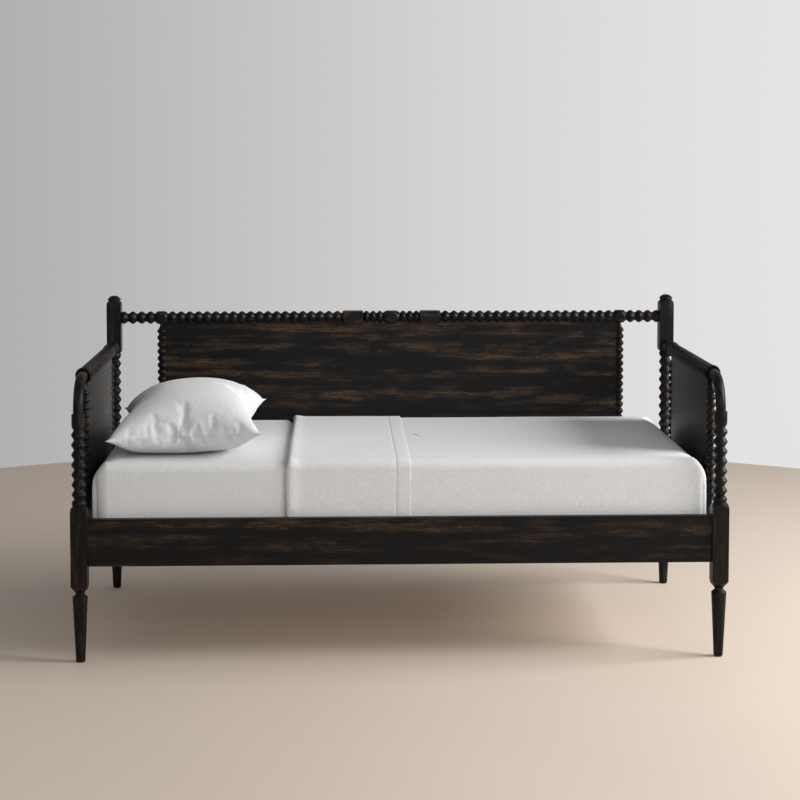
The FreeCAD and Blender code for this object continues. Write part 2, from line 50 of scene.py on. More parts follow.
# ---- camera, light and floor ---------------------------------------------------------------
CAMERA_PLACE = Vector((-0.2082, -6.3598, 1.5916))
CAMERA_TURN = math.radians(-1.996)     # about Z, away from looking straight along +Y
FOCAL = 2.4                            # focal length over the picture's width
HORIZON = -0.3223                      # height of the horizon above the middle of the picture
OBJECT_BELOW = 0.10                    # the object's middle, below the middle of the picture
CAMERA_SHIFT = -0.16                   # as much as keeps the whole bed in the other views
SENSOR = 36.0                          # millimetres
LIT = (0.0, 0.0, 0.6)                  # what the lights are aimed at
SURROUND = 0.27                        # the surround's brightness away from its glow
RIGHT_GLOW = (-0.30, 0.30, 0.12, 0.52)      # glow from left to right: direction range, brightness range
BACK_GLOW = (0.55, 1.0, 0.0, 1.0)           # share of that glow, towards the back
FLOOR_RADIUS, FLOOR_RINGS, FLOOR_SPOKES = 3.6, 6, 96


def make_camera():
    """The camera looks down at the bed by what its vertical shift leaves over."""
    data = bpy.data.cameras.new("camera")
    data.sensor_width = SENSOR
    data.lens = FOCAL * SENSOR
    data.shift_y = CAMERA_SHIFT
    below_horizon = math.atan((OBJECT_BELOW - HORIZON) / FOCAL)
    below_axis = math.atan((OBJECT_BELOW - CAMERA_SHIFT) / FOCAL)
    camera = bpy.data.objects.new("camera", data)
    camera.location = CAMERA_PLACE
    camera.rotation_euler = (math.pi / 2 - (below_horizon - below_axis), 0, CAMERA_TURN)
    bpy.context.collection.objects.link(camera)
    bpy.context.scene.camera = camera


def area_light(name, place, size, energy):
    """A soft white rectangular light at place, aimed at the bed."""
    data = bpy.data.lights.new(name, "AREA")
    data.shape = "RECTANGLE"
    data.size, data.size_y = size
    data.energy = energy
    light = bpy.data.objects.new(name, data)
    light.location = place
    light.rotation_euler = (Vector(LIT) - Vector(place)).to_track_quat("-Z", "Y").to_euler()
    bpy.context.collection.objects.link(light)


def map_range(tree, value, low, high, to_low, to_high):
    """A node that maps low..high smoothly to to_low..to_high. Returns its output."""
    node = tree.nodes.new("ShaderNodeMapRange")
    node.interpolation_type = "SMOOTHSTEP"
    tree.links.new(value, node.inputs["Value"])
    for key, number in (("From Min", low), ("From Max", high), ("To Min", to_low), ("To Max", to_high)):
        node.inputs[key].default_value = number
    return node.outputs["Result"]


def make_surround():
    """A pale grey surround that is brighter behind the bed, and most of all behind it to the right."""
    world = bpy.data.worlds.new("surround")
    world.use_nodes = True
    tree = world.node_tree
    direction = tree.nodes.new("ShaderNodeTexCoord").outputs["Generated"]
    split = tree.nodes.new("ShaderNodeSeparateXYZ")
    tree.links.new(direction, split.inputs["Vector"])
    to_right = map_range(tree, split.outputs[0], *RIGHT_GLOW)
    behind = map_range(tree, split.outputs[1], *BACK_GLOW)
    glow = tree.nodes.new("ShaderNodeMath")
    glow.operation = "MULTIPLY_ADD"
    tree.links.new(to_right, glow.inputs[0])
    tree.links.new(behind, glow.inputs[1])
    glow.inputs[2].default_value = SURROUND
    tree.links.new(glow.outputs["Value"], tree.nodes["Background"].inputs["Color"])
    bpy.context.scene.world = world


def make_floor():
    """A round floor, as rings of faces round its middle."""
    points = [(0.0, 0.0, 0.0)]
    faces = []
    for ring in range(1, FLOOR_RINGS + 1):
        for spoke in range(FLOOR_SPOKES):
            angle = 2 * math.pi * spoke / FLOOR_SPOKES
            reach = FLOOR_RADIUS * ring / FLOOR_RINGS
            points.append((reach * math.cos(angle), reach * math.sin(angle), 0.0))
            following = (spoke + 1) % FLOOR_SPOKES
            if ring == 1:
                faces.append((0, spoke + 1, following + 1))
            else:
                inner = 1 + (ring - 2) * FLOOR_SPOKES
                outer = inner + FLOOR_SPOKES
                faces.append((inner + spoke, outer + spoke, outer + following, inner + following))
    floor = mesh_piece("floor", points, faces)
    floor.data.materials.append(floor_material())


def make_studio():
    """The surround, a big window-like light on the right, a fill at the front, and a pale floor."""
    make_surround()
    area_light("window_right", (4.7, -0.9, 2.7), (3.0, 2.2), 335.0)
    area_light("front_fill", (1.5, -6.0, 2.6), (4.0, 2.5), 97.0)
    make_floor()


# ---- meshes --------------------------------------------------------------------------------
def mesh_piece(name, points, faces):
    """A new smooth-shaded object from points and faces."""
    mesh = bpy.data.meshes.new(name)
    mesh.from_pydata([tuple(p) for p in points], [], [tuple(f) for f in faces])
    mesh.polygons.foreach_set("use_smooth", [True] * len(mesh.polygons))
    mesh.update()
    piece = bpy.data.objects.new(name, mesh)
    bpy.context.collection.objects.link(piece)
    return piece


def points_of(piece):
    """The mesh's points as an array."""
    flat = np.empty(len(piece.data.vertices) * 3)
    piece.data.vertices.foreach_get("co", flat)
    return flat.reshape(-1, 3)


def set_points(piece, points):
    """Write the points back."""
    piece.data.vertices.foreach_set("co", np.asarray(points, float).ravel())
    piece.data.update()


def ripple(points, size, seed):
    """Smooth noise from -1 to 1 at each point, with features about size metres across."""
    offset = Vector((seed * 7.31, seed * 3.17, seed * 5.73))
    return np.array([noise.noise(Vector(p) / size + offset) for p in points])


def add_modifier(piece, kind, **settings):
    """A modifier with the given settings."""
    modifier = piece.modifiers.new(kind.lower(), kind)
    for key, value in settings.items():
        setattr(modifier, key, value)
    return modifier


# ---- materials -----------------------------------------------------------------------------
class Shader:
    """A material with a Principled shader, and short calls that add and join nodes."""

    def __init__(self, name, roughness, **fixed):
        self.material = bpy.data.materials.new(name)
        self.material.use_nodes = True
        self.tree = self.material.node_tree
        self.main = self.tree.nodes["Principled BSDF"]
        self.main.inputs["Roughness"].default_value = roughness
        for key, value in fixed.items():
            self.main.inputs[key.replace("_", " ")].default_value = value
        self.place = self.tree.nodes.new("ShaderNodeTexCoord").outputs["Object"]

    def put(self, socket, value):
        """Give a socket a value or a link."""
        if isinstance(value, bpy.types.NodeSocket):
            self.tree.links.new(value, socket)
        else:
            socket.default_value = value

    def stretched(self, scale, shift=(0, 0, 0)):
        """The object's own coordinates, scaled along each axis."""
        node = self.tree.nodes.new("ShaderNodeMapping")
        node.inputs["Scale"].default_value = scale
        node.inputs["Location"].default_value = shift
        self.put(node.inputs["Vector"], self.place)
        return node.outputs["Vector"]

    def noise(self, vector, scale, detail=3.0, roughness=0.5, distortion=0.0):
        """Noise from 0 to 1."""
        node = self.tree.nodes.new("ShaderNodeTexNoise")
        self.put(node.inputs["Vector"], vector)
        node.inputs["Scale"].default_value = scale
        node.inputs["Detail"].default_value = detail
        node.inputs["Roughness"].default_value = roughness
        node.inputs["Distortion"].default_value = distortion
        return node.outputs["Fac"]

    def wave(self, vector, scale, direction, distortion=0.0):
        """Bands from 0 to 1 along X, Y, Z or their diagonal."""
        node = self.tree.nodes.new("ShaderNodeTexWave")
        node.wave_type = "BANDS"
        node.bands_direction = direction
        self.put(node.inputs["Vector"], vector)
        node.inputs["Scale"].default_value = scale
        node.inputs["Distortion"].default_value = distortion
        return node.outputs["Fac"]

    def math(self, operation, first, second=0.0):
        """Arithmetic on two values."""
        node = self.tree.nodes.new("ShaderNodeMath")
        node.operation = operation
        self.put(node.inputs[0], first)
        self.put(node.inputs[1], second)
        return node.outputs["Value"]

    def span(self, value, low, high, to_low=0.0, to_high=1.0):
        """Map low..high smoothly to to_low..to_high."""
        return map_range(self.tree, value, low, high, to_low, to_high)

    def mix(self, amount, first, second):
        """Blend two colours."""
        node = self.tree.nodes.new("ShaderNodeMix")
        node.data_type = "RGBA"
        factor, colours = node.inputs[0], node.inputs[6:8]     # sockets 6 and 7 are the two colours
        self.put(factor, amount)
        self.put(colours[0], first)
        self.put(colours[1], second)
        return node.outputs[2]

    def bump(self, height, strength, distance):
        """Turn a height into the surface's normal, on top of any bump before it."""
        node = self.tree.nodes.new("ShaderNodeBump")
        node.inputs["Strength"].default_value = strength
        node.inputs["Distance"].default_value = distance
        self.put(node.inputs["Height"], height)
        before = self.main.inputs["Normal"]
        if before.is_linked:
            self.put(node.inputs["Normal"], before.links[0].from_socket)
        self.put(before, node.outputs["Normal"])

    def worn_edges(self, radius, low, high):
        """A mask that is 1 on sharp outer edges: where a rounded normal leaves the true one."""
        bevel = self.tree.nodes.new("ShaderNodeBevel")
        bevel.inputs["Radius"].default_value = radius
        bevel.samples = 4
        geometry = self.tree.nodes.new("ShaderNodeNewGeometry")
        dot = self.tree.nodes.new("ShaderNodeVectorMath")
        dot.operation = "DOT_PRODUCT"
        self.put(dot.inputs[0], bevel.outputs["Normal"])
        self.put(dot.inputs[1], geometry.outputs["Normal"])
        return self.span(self.math("SUBTRACT", 1.0, dot.outputs["Value"]), low, high)


def rgba(red, green, blue):
    """A colour with full alpha."""
    return (red, green, blue, 1.0)


def along(axis, lengthwise, crosswise):
    """A scale that is stretched along one axis."""
    return tuple(lengthwise if k == axis else crosswise for k in range(3))


STAIN = (rgba(0.0026, 0.0027, 0.0036), rgba(0.0078, 0.0071, 0.0068))
RUBBED = (rgba(0.030, 0.0175, 0.0090), rgba(0.118, 0.068, 0.0330))
WORN = rgba(0.060, 0.042, 0.028)


def ebonised_wood(name, axis, streaks=1.0, shift=(0, 0, 0), turned=False, dull=0.0):
    """Near-black stain, rubbed through to brown in soft streaks along the grain.

    A turned piece is rubbed in smaller patches than a board. dull takes off the sheen."""
    shader = Shader(name, 0.40, Specular_IOR_Level=0.15 * (1 - dull), Coat_Weight=0.03,
                    Coat_Roughness=0.20)
    finer = 1.9 if turned else 1.0

    def grain(lengthwise, crosswise, *detail):
        return shader.noise(shader.stretched(along(axis, lengthwise, crosswise), shift), 1.0, *detail)

    bands = grain(1.5 * finer, 40.0 * finer, 2.0)
    patches = grain(7.5 * finer, 34.0 * finer, 3.0, 0.5, 0.2)
    broken = grain(26.0, 95.0, 3.0, 0.6)
    fibre = grain(16.0, 300.0, 4.0, 0.6)
    hair = grain(130.0, 700.0, 3.0, 0.6)
    blotch = shader.math("ADD", shader.math("MULTIPLY", bands, 0.50), shader.math("MULTIPLY", patches, 0.50))
    torn = shader.math("ADD", blotch, shader.math("MULTIPLY", shader.math("SUBTRACT", fibre, 0.5), 0.10))
    streak = shader.math("MULTIPLY", shader.span(torn, 0.45, 0.66, 0.0, streaks),
                         shader.span(fibre, 0.36, 0.60, 0.26, 1.0))
    streak = shader.math("MULTIPLY", streak, shader.span(broken, 0.34, 0.58, 0.45, 1.0))
    stain = shader.mix(shader.span(hair, 0.3, 0.7), *STAIN)
    rubbed = shader.mix(shader.span(hair, 0.3, 0.7), *RUBBED)
    worn = shader.math("MULTIPLY", shader.worn_edges(0.0022, 0.01, 0.16),
                       shader.span(fibre, 0.38, 0.62, 0.15, 0.75))
    colour = shader.mix(worn, shader.mix(streak, stain, rubbed), WORN)
    shader.put(shader.main.inputs["Base Color"], colour)
    matt = 0.16 * dull
    gloss = shader.math("ADD", shader.span(fibre, 0.3, 0.7, 0.36 + matt, 0.45 + matt),
                        shader.math("MULTIPLY", streak, 0.10))
    shader.put(shader.main.inputs["Roughness"], gloss)
    shader.bump(fibre, 0.14, 0.0003)
    shader.bump(shader.span(hair, 0.28, 0.42), 0.15, 0.0002)
    return shader.material


def planed_pine(name, axis):
    """Unfinished pine with darker annual rings."""
    shader = Shader(name, 0.62, Specular_IOR_Level=0.35)
    bent = shader.noise(shader.stretched(along(axis, 1.2, 9.0)), 1.0, 3.0, 0.5, 0.4)
    rings = shader.wave(shader.stretched(along(axis, 0.6, 16.0)), 3.0, "DIAGONAL", 5.0)
    fibre = shader.noise(shader.stretched(along(axis, 14.0, 420.0)), 1.0, 3.0)
    pale = shader.mix(bent, rgba(0.56, 0.38, 0.22), rgba(0.66, 0.48, 0.30))
    colour = shader.mix(shader.span(rings, 0.45, 0.95, 0.0, 0.55), pale, rgba(0.42, 0.24, 0.11))
    colour = shader.mix(shader.span(fibre, 0.25, 0.6, 0.25, 0.0), colour, rgba(0.33, 0.20, 0.10))
    shader.put(shader.main.inputs["Base Color"], colour)
    shader.put(shader.main.inputs["Roughness"], shader.span(fibre, 0.3, 0.7, 0.55, 0.72))
    shader.bump(fibre, 0.3, 0.0003)
    return shader.material


def zinc_plate(name):
    """Zinc-plated steel with a faint brushed, cloudy surface."""
    shader = Shader(name, 0.34, Metallic=1.0)
    cloud = shader.noise(shader.place, 160.0, 4.0, 0.6)
    brushed = shader.noise(shader.stretched((3.0, 40.0, 40.0)), 60.0, 3.0)
    shader.put(shader.main.inputs["Base Color"],
               shader.mix(cloud, rgba(0.46, 0.47, 0.48), rgba(0.63, 0.63, 0.60)))
    shader.put(shader.main.inputs["Roughness"], shader.span(cloud, 0.3, 0.7, 0.28, 0.46))
    shader.bump(brushed, 0.12, 0.0002)
    return shader.material


def moulded_nylon(name):
    """Dark moulded nylon with a fine spark-eroded grain."""
    shader = Shader(name, 0.55, Specular_IOR_Level=0.4)
    grain = shader.noise(shader.place, 1500.0, 2.0)
    scuff = shader.noise(shader.place, 90.0, 4.0, 0.6)
    shader.put(shader.main.inputs["Base Color"],
               shader.mix(scuff, rgba(0.020, 0.018, 0.016), rgba(0.050, 0.046, 0.042)))
    shader.put(shader.main.inputs["Roughness"], shader.span(scuff, 0.3, 0.7, 0.45, 0.68))
    shader.bump(grain, 0.3, 0.0002)
    return shader.material


def webbing_tape(name):
    """Woven tape with a diagonal rib."""
    shader = Shader(name, 0.85, Sheen_Weight=0.2, Sheen_Roughness=0.5)
    rib = shader.wave(shader.place, 330.0, "DIAGONAL", 0.4)
    tint = shader.noise(shader.place, 55.0, 3.0)
    shader.put(shader.main.inputs["Base Color"],
               shader.mix(tint, rgba(0.62, 0.60, 0.54), rgba(0.74, 0.72, 0.66)))
    shader.bump(rib, 0.5, 0.0004)
    return shader.material


def brushed_cotton(name, tone):
    """Soft white cotton: a fine weave under a brushed nap that catches the light in small patches."""
    mottle, cool = 0.045, 0.007
    threads = 500.0
    shader = Shader(name, 0.88, Sheen_Weight=0.18, Sheen_Roughness=0.45, Specular_IOR_Level=0.25)
    patch = shader.noise(shader.place, 120.0, 5.0, 0.62)
    cloud = shader.noise(shader.place, 14.0, 3.0)
    warp = shader.wave(shader.place, threads, "X", 0.6)
    weft = shader.wave(shader.place, threads, "Y", 0.6)
    rise = shader.wave(shader.place, threads, "Z", 0.6)
    tint = (tone - cool, tone, tone + cool)
    dark = tuple(channel * (1 - mottle * 1.6) for channel in tint)
    light = tuple(min(1.0, channel * (1 + mottle)) for channel in tint)
    colour = shader.mix(shader.span(patch, 0.3, 0.7), rgba(*dark), rgba(*light))
    colour = shader.mix(shader.span(cloud, 0.3, 0.7, 0.0, 0.25), colour, rgba(*dark))
    shader.put(shader.main.inputs["Base Color"], colour)
    shader.put(shader.main.inputs["Roughness"], shader.span(patch, 0.3, 0.7, 0.82, 0.95))
    shader.bump(shader.math("MULTIPLY", shader.math("ADD", warp, weft), rise), 0.10, 0.0002)
    shader.bump(patch, 0.35, 0.0009)
    return shader.material


def quilted_ticking(name):
    """Off-white knitted ticking, quilted in soft diagonal ridges, with painted shade in the hollows between
    them.
    """
    shader = Shader(name, 0.9, Sheen_Weight=0.15, Sheen_Roughness=0.5)
    ridges = shader.wave(shader.place, 9.0, "DIAGONAL", 0.3)
    knit = shader.noise(shader.place, 500.0, 2.0)
    # Painted shade: the colour darkens in the low hollows of the quilted ridges, the same places the bump
    # below sets lowest.
    shader.put(shader.main.inputs["Base Color"],
               shader.mix(shader.span(ridges, 0.0, 0.25), rgba(0.58, 0.58, 0.57), rgba(0.78, 0.78, 0.76)))
    shader.bump(shader.span(ridges, 0.0, 0.5), 0.6, 0.004)
    shader.bump(knit, 0.3, 0.0004)
    return shader.material


def floor_material():
    """A plain pale matt floor."""
    shader = Shader("pale_floor", 0.75, Specular_IOR_Level=0.2)
    tint = shader.noise(shader.place, 1.2, 2.0)
    shader.put(shader.main.inputs["Base Color"],
               shader.mix(tint, rgba(0.66, 0.56, 0.47), rgba(0.70, 0.60, 0.51)))
    return shader.material


# ---- the wooden frame and its hardware -----------------------------------------------------
def dress(name, material, bevel=0.0):
    """Give a CAD node its material, and soften its sharp edges."""
    node = nodes[name]
    node.data.materials.clear()
    node.data.materials.append(material)
    if bevel:
        add_modifier(node, "BEVEL", width=bevel, segments=2, limit_method="ANGLE",
                     angle_limit=math.radians(50), harden_normals=False)


def dress_frame():
    """Wood grain runs along each piece; hardware, straps and glides get their own finishes."""
    long_wood = ebonised_wood("ebonised_long", 0, 0.8)
    panel_wood = ebonised_wood("ebonised_panel", 0, 1.0, (0.35, 0.0, 0.12))
    deep_wood = ebonised_wood("ebonised_deep", 1, 1.0, dull=0.2)
    arm_wood = ebonised_wood("ebonised_arm", 1, 0.7, turned=True, dull=0.8)
    bend_wood = ebonised_wood("ebonised_bend", 2, 0.5, turned=True, dull=0.2)
    spool_wood = ebonised_wood("ebonised_spool", 0, 0.6, turned=True)
    upright_wood = ebonised_wood("ebonised_upright", 2, 0.6, turned=True)
    slat_wood = planed_pine("pine_slat", 1)
    ledger_wood = planed_pine("pine_ledger", 0)
    zinc = zinc_plate("zinc_plate")
    for name in nodes:
        if name.endswith(("_post", "_spindle")):
            dress(name, upright_wood)
        elif name in ("front_side_rail", "back_lower_rail"):
            dress(name, long_wood, 1.2 * MM)
        elif name == "back_top_rail":
            dress(name, spool_wood)
        elif name == "back_panel":
            dress(name, panel_wood)
        elif name.endswith(("_end_rail", "_side_panel")):
            dress(name, deep_wood, 1.0 * MM)
        elif name.endswith("_arm_rail"):
            dress(name, arm_wood)
        elif name.endswith("_arm_bend"):
            dress(name, bend_wood)
        elif name.endswith("_slat_ledger"):
            dress(name, ledger_wood, 1.0 * MM)
        elif name.startswith(("slat_0", "slat_1")):
            dress(name, slat_wood)
        elif name in ("rail_dowels", "arm_dowels"):
            dress(name, ledger_wood)
        elif name in ("rail_bolts", "barrel_nuts", "ledger_screws", "slat_screws"):
            dress(name, zinc)
    dress("slat_straps", webbing_tape("webbing_tape"))
    dress("foot_glides", moulded_nylon("moulded_nylon"))


# ---- bedding -------------------------------------------------------------------------------
MATTRESS_CORNER = 0.052       # plan radius of the mattress's corners
LONG_RIM = 0.026              # radius of its rims along the front and back
END_RIM = 0.074               # radius of its rims at the two ends, which are softer
SWELL = 0.0065                # how far the soft ends stand out past their plain solids
UNDER = 0.110                 # how far the fitted sheet reaches under the mattress
TUCK = 0.165                  # how far the top sheet is tucked under it
FOLD_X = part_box("top_sheet")[0][0]          # folded edge of the turned-back top sheet
HEM_X = FOLD_X + 0.375                      # free edge of the cuff
STITCH_X = HEM_X - 0.043                    # line of stitches along its hem
FITTED_LOW, FITTED_HIGH = (np.array(corner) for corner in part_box("fitted_sheet"))
SHEET_LEVEL = FITTED_HIGH[2]
CREASE = ((0.060, 0.085), (0.090, -0.015))  # a small crease left in the top sheet, in plan
ROLL = 0.0075                 # radius of the roll that the folded edge makes
PAD_DENT = 1.15               # how much deeper the fold's hollow is in the mattress than in its sheet
TAPE_RADIUS = 0.0028          # of the mattress's binding
CUFF_RISE, CUFF_PROUD = 0.0055, 0.0030      # how far the cuff lies above the sheet, and outside it
SHEET_WAVES = ((0.33, 0.0012, 5), (0.09, 0.0005, 6))    # size, height and seed of its rumples
JUST = 1e-4                   # a tenth of a millimetre, to tell one level from the next
TINY = 1e-6
CELL, FINE = 0.0125, 0.0035   # the sheets' meshes, in the open and where they curve or fold


def spaced(low, high, cell):
    """Evenly spaced values from low to high, about cell apart."""
    return np.linspace(low, high, max(2, int(round((high - low) / cell)) + 1))


def graded(low, high, spots, reach):
    """Values from low to high that are close together within reach of each spot."""
    values = [low]
    while values[-1] < high:
        away = min(abs(values[-1] - spot) for spot in spots)
        values.append(values[-1] + min(CELL, FINE + 0.35 * max(0.0, away - reach)))
    values = np.array(values)
    return low + (values - low) * (high - low) / (values[-1] - low)


def block_surface(xs, ys, zs, keep):
    """A grid over the faces of a box. keep(x, y, z) says which cells stay, from their middles.

    Returns the points, the faces, and the index of each point by its place on the grid."""
    places = {}
    faces = []
    lines = (xs, ys, zs)
    sizes = [len(line) - 1 for line in lines]
    for axis in range(3):
        first, second = (axis + 1) % 3, (axis + 2) % 3
        for end in (0, sizes[axis]):
            for i in range(sizes[first]):
                for j in range(sizes[second]):
                    corners = []
                    for di, dj in ((0, 0), (1, 0), (1, 1), (0, 1)):
                        place = [0, 0, 0]
                        place[axis], place[first], place[second] = end, i + di, j + dj
                        corners.append(tuple(place))
                    middle = [sum(lines[k][c[k]] for c in corners) / 4 for k in range(3)]
                    if keep(*middle):
                        quad = [places.setdefault(c, len(places)) for c in corners]
                        faces.append(quad if end else quad[::-1])
    points = np.array([[lines[k][place[k]] for k in range(3)] for place in places])
    return points, faces, places


def rounded(points, low, high, grown=0.0):
    """Points on a square box moved onto the same box with a mattress's rounded corners and rims.

    grown is how far the box stands out from the mattress, and is added to every radius."""
    corner = MATTRESS_CORNER + grown
    middle, half = (low + high) / 2, (high - low) / 2
    p = points - middle
    side = np.sign(p)
    q = np.abs(p)
    past = np.maximum(q[:, :2] - (half[:2] - corner), 0)
    in_corner = (past > 1e-9).all(1)
    length = np.hypot(past[:, 0], past[:, 1]) + 1e-12
    past *= np.where(in_corner, past.max(1) / length, 1.0)[:, None]
    q[:, :2] = np.where(in_corner[:, None], half[:2] - corner + past, q[:, :2])
    length = np.hypot(past[:, 0], past[:, 1]) + 1e-12
    gap = half[:2] - q[:, :2]
    nearest_x = gap[:, 0] < gap[:, 1]
    straight = np.stack([nearest_x, ~nearest_x], 1).astype(float)
    normal = np.where(in_corner[:, None], past / length[:, None], straight)
    edge = LONG_RIM + grown + (END_RIM - LONG_RIM) * normal[:, 0] ** 2
    inset = np.where(in_corner, corner - length, gap.min(1))
    drop = half[2] - q[:, 2]
    run = np.where(drop > 1e-9, drop, -inset)
    angle = np.clip((run / edge + 1) * math.pi / 4, 0, math.pi / 2)
    near = np.abs(run) < edge
    new_inset = np.where(near, edge * (1 - np.sin(angle)), inset)
    new_drop = np.where(near, edge * (1 - np.cos(angle)), drop)
    q[:, :2] += normal * (inset - new_inset)[:, None]
    q[:, 2] = half[2] - new_drop
    return middle + side * q


def outward(points, low, high):
    """Unit vectors out of the block at each point."""
    middle, half = (low + high) / 2, (high - low) / 2
    core = np.maximum(half - END_RIM, 0.01)
    away = points - middle
    away -= np.clip(away, -core, core)
    return away / (np.linalg.norm(away, axis=1)[:, None] + 1e-9)


def bell(distance, width):
    """A smooth bump: 1 at distance 0, and almost gone at twice the width."""
    return np.exp(-(distance / width) ** 2)


def darts(points, low, high):
    """Height of the sewn dart down each corner: a groove with a soft fold beside it."""
    middle, half = (low + high) / 2, (high - low) / 2
    past = np.abs(points - middle)[:, :2] - (half[:2] - MATTRESS_CORNER)
    angle = np.arctan2(past[:, 1], past[:, 0])
    along_arc = MATTRESS_CORNER * (angle - math.radians(45))
    fold, groove = bell(along_arc + 0.014, 0.007), bell(along_arc, 0.0060)
    shape = 0.0042 * fold - 0.0050 * groove
    fade = np.clip((high[2] - 0.030 - points[:, 2]) / 0.060, 0, 1)
    return np.where((past > 0).all(1), shape * fade, 0.0)


def fold_drift(normals):
    """The fold leans towards the head on its way down the mattress's sides."""
    return -0.0055 * np.abs(normals[:, 1])


def fold_hollow(points, normals):
    """How far the mattress is pressed in along the top sheet's folded edge."""
    off = points[:, 0] - FOLD_X - fold_drift(normals) + 0.005
    on_side = np.abs(normals[:, 1])
    return -(0.0090 + 0.0050 * on_side) * bell(off, 0.0095 - 0.0010 * on_side)


def small_crease(points):
    """Height of the one small crease on the flat of the top sheet."""
    start, end = (np.array(point) for point in CREASE)
    run = end - start
    length = np.linalg.norm(run)
    away = points[:, :2] - start
    share = (away @ run) / length ** 2
    across = (away[:, 0] * run[1] - away[:, 1] * run[0]) / length
    taper = np.clip(share / 0.3, 0, 1) * np.clip((1 - share) / 0.3, 0, 1)
    top = points[:, 2] > FITTED_HIGH[2]
    return 0.0018 * taper * top * (bell(across, 0.006) - bell(across - 0.010, 0.006))


def rumple(points, amounts):
    """Height of several sizes of noise: each amount is (size, height, seed)."""
    return sum(height * ripple(points, size, seed) for size, height, seed in amounts)


def make_mattress(ticking, tape):
    """The bare mattress: a quilted block with a bound tape edge round its top and bottom."""
    low, high = (np.array(corner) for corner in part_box("mattress"))
    inside = 0.003
    low, high = low + (inside - SWELL, inside, 0.0), high - (inside - SWELL / 2, inside, inside)
    xs = graded(low[0], high[0], (low[0], FOLD_X, high[0]), 0.020)
    ys, zs = spaced(low[1], high[1], 0.015), spaced(low[2], high[2], 0.015)
    points, faces, _ = block_surface(xs, ys, zs, lambda x, y, z: True)
    points = rounded(points, low, high, -inside)
    normals = outward(points, low, high)
    dent = np.where(points[:, 2] > low[2] + 0.02, fold_hollow(points, normals) * PAD_DENT, 0.0)
    points += normals * (dent - np.abs(rumple(points, ((0.16, 0.0012, 1),))))[:, None]
    body = mesh_piece("mattress_pad", points, faces)
    body.data.materials.append(ticking)
    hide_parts("mattress")
    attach(body, "mattress")
    levels = {"mattress_tape_top": high[2] - 0.020, "mattress_tape_bottom": low[2] + 0.020}
    for name, level in levels.items():
        binding = ring_tube(name, plan_ring(low, high, level, inside), TAPE_RADIUS, 8)
        binding.data.materials.append(tape)
        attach(binding, "mattress")


def plan_ring(low, high, level, inside):
    """Points round the mattress at one level, just inside its surface."""
    corners = [(low[0], low[1]), (high[0], low[1]), (high[0], high[1]), (low[0], high[1])]
    points = []
    for here, there in zip(corners, corners[1:] + corners[:1]):
        axis = 0 if here[0] != there[0] else 1
        for value in spaced(min(here[axis], there[axis]), max(here[axis], there[axis]), 0.012)[:-1]:
            share = (value - min(here[axis], there[axis])) / abs(there[axis] - here[axis])
            points.append([here[k] + (there[k] - here[k]) * share for k in range(2)] + [level])
    points = rounded(np.array(points), low, high, -inside)
    normals = outward(points, low, high)
    points += normals * (fold_hollow(points, normals) * PAD_DENT - 0.0022)[:, None]
    return [Vector(p) for p in points]


def ring_tube(name, path, radius, sides):
    """A round tube along a closed path of points."""
    count = len(path)
    points, faces = [], []
    up = Vector((0, 0, 1))
    for i, centre in enumerate(path):
        forward = (path[(i + 1) % count] - path[i - 1]).normalized()
        across = forward.cross(up)
        across.normalize()
        over = across.cross(forward)
        for k in range(sides):
            angle = 2 * math.pi * k / sides
            points.append(centre + radius * (math.cos(angle) * across + math.sin(angle) * over))
    for i in range(count):
        j = (i + 1) % count
        for k in range(sides):
            m = (k + 1) % sides
            faces.append((i * sides + k, i * sides + m, j * sides + m, j * sides + k))
    return mesh_piece(name, points, faces)


def dress_sheet(sheet, thick, cotton, node):
    """Give a sheet its thickness and its cotton, in the place of its CAD node."""
    add_modifier(sheet, "SOLIDIFY", thickness=thick, offset=0.0)
    sheet.data.materials.append(cotton)
    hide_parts(node)


def make_fitted_sheet(cotton):
    """The fitted sheet: stretched over the mattress and gathered under it by its elastic hem."""
    thick = 0.0010
    low, high = FITTED_LOW + thick / 2, FITTED_HIGH - thick / 2
    low[0] -= SWELL
    high[0] += SWELL / 2
    xs = graded(low[0], high[0], (low[0], low[0] + 0.06, FOLD_X, high[0]), 0.035)
    ys = graded(low[1], high[1], (low[1], high[1]), 0.060)
    zs = graded(low[2], high[2], (low[2], high[2]), 0.035)
    inner_low, inner_high = low + UNDER - 0.02, high - UNDER + 0.02

    def keep(x, y, z):
        open_below = inner_low[0] < x < inner_high[0] and inner_low[1] < y < inner_high[1]
        return z > low[2] + TINY or not open_below

    points, faces, _ = block_surface(xs, ys, zs, keep)
    points = rounded(points, low, high, 0.0015)
    normals = outward(points, low, high)
    below = points[:, 2] < low[2] + JUST
    height = rumple(points, ((0.30, 0.0006, 2), (0.07, 0.0004, 3)))
    stretched = points * (1.0, 0.35, 1.0)
    to_left = points[:, 0] - low[0]
    pull = np.exp(-to_left / 0.10) * ripple(stretched, 0.03, 4) * 0.0008
    height += pull + darts(points, low, high) + fold_hollow(points, normals)
    points += normals * np.where(below, 0.0, height)[:, None]
    points[:, 2] = np.maximum(points[:, 2], low[2])
    sheet = mesh_piece("fitted_sheet_cloth", points, faces)
    dress_sheet(sheet, thick, cotton, "fitted_sheet")
    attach(sheet, "mattress")


def cuff_columns():
    """Places of the cuff's columns: close together at the fold, the stitch line and the free edge."""
    near_fold = np.array((0.0, 0.7, 1.6, 2.8, 4.2, 6.0, 8.0, 10.5, 13.5, 17.0, 21.0, 27.0)) * MM
    return np.concatenate([FOLD_X + near_fold, spaced(FOLD_X + 0.034, STITCH_X - 0.004, CELL),
                           [STITCH_X - 0.0015, STITCH_X, STITCH_X + 0.0015],
                           spaced(STITCH_X + 0.005, HEM_X - 0.002, 0.009), [HEM_X]])


def moved(line, low, high, new_low, new_high):
    """A line of values from low..high moved and stretched to new_low..new_high."""
    return new_low + (line - low) * (new_high - new_low) / (high - low)


